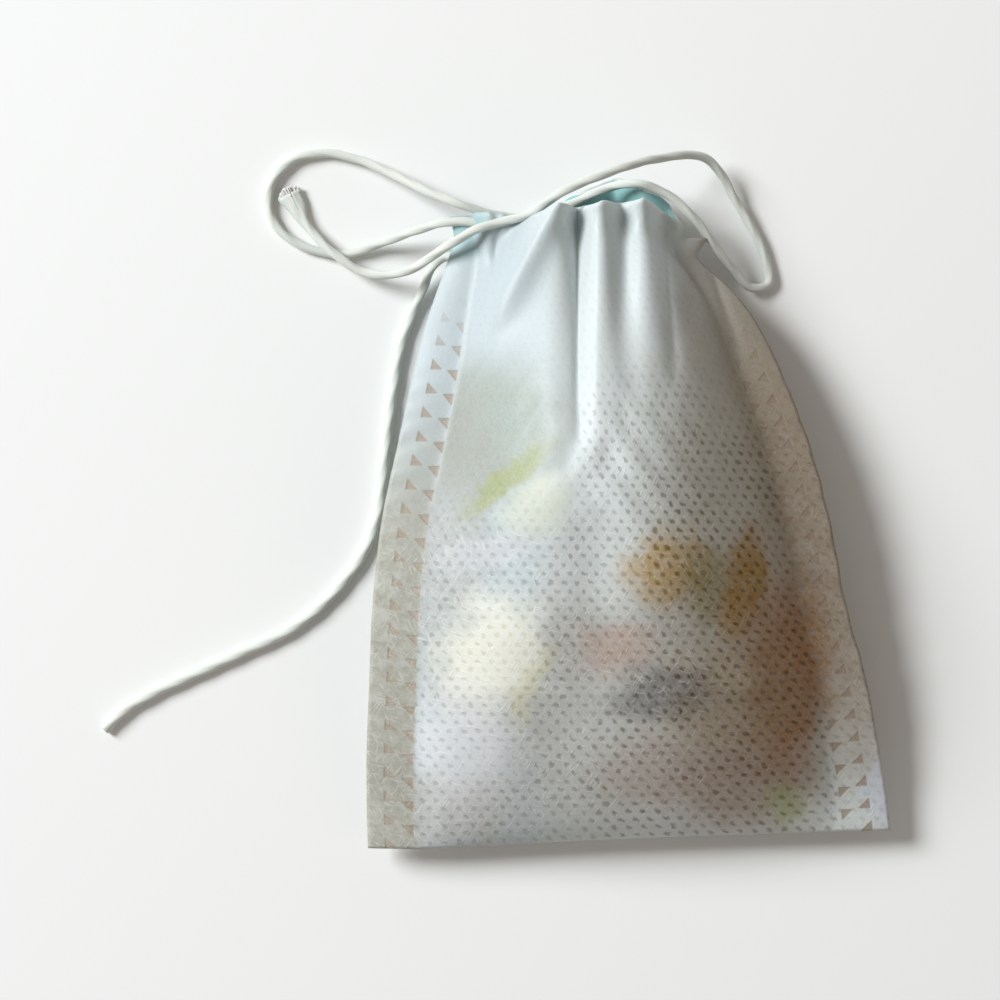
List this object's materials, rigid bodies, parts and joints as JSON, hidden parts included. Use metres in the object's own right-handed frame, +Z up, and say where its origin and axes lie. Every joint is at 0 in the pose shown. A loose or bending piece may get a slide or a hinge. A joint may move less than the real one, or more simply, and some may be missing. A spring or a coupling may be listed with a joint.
{
  "type": "drawstring tea filter bag",
  "caption": "Filled non-woven tea filter bag, drawn shut at a gathered mouth by a cord with loops and a tail, lying on its back.",
  "frame": {"origin": "under the middle of the bag's box, on the surface that it lies on", "axes": "+X across the bag, +Y from the bottom fold to the gathered mouth, +Z up through the front panel"},
  "size_m": [0.1048, 0.0927, 0.0232],
  "materials": {
    "filter_cloth": "dot-bonded non-woven, matt, partly see-through",
    "cotton_cord": "soft twisted cotton",
    "apple": "dried fruit, matt",
    "brown_fruit": "dried fruit, matt",
    "ginger": "dried root, matt",
    "orange": "dried peel and fruit, matt",
    "lemon": "dried citrus, matt",
    "dark_fruit": "shrivelled skin",
    "rose": "dried petals",
    "leaf": "dried leaf",
    "lavender": "dried flowers"
  },
  "bodies": {
    "root": {"filter_bag": "filter_cloth", "drawstring": "cotton_cord", "apple_cube_left": "apple", "apple_cube_right": "apple", "apple_slice": "brown_fruit", "hawthorn_slice": "brown_fruit", "ginger_piece": "ginger", "orange_slice": "orange", "orange_peel": "orange", "peach_cube": "orange", "lemon_slice_upper": "lemon", "lemon_slice_lower": "lemon", "plum_half": "dark_fruit", "blueberry": "dark_fruit", "rosebud": "rose", "mint_leaf": "leaf", "lavender_head": "lavender"}
  },
  "joints": []
}
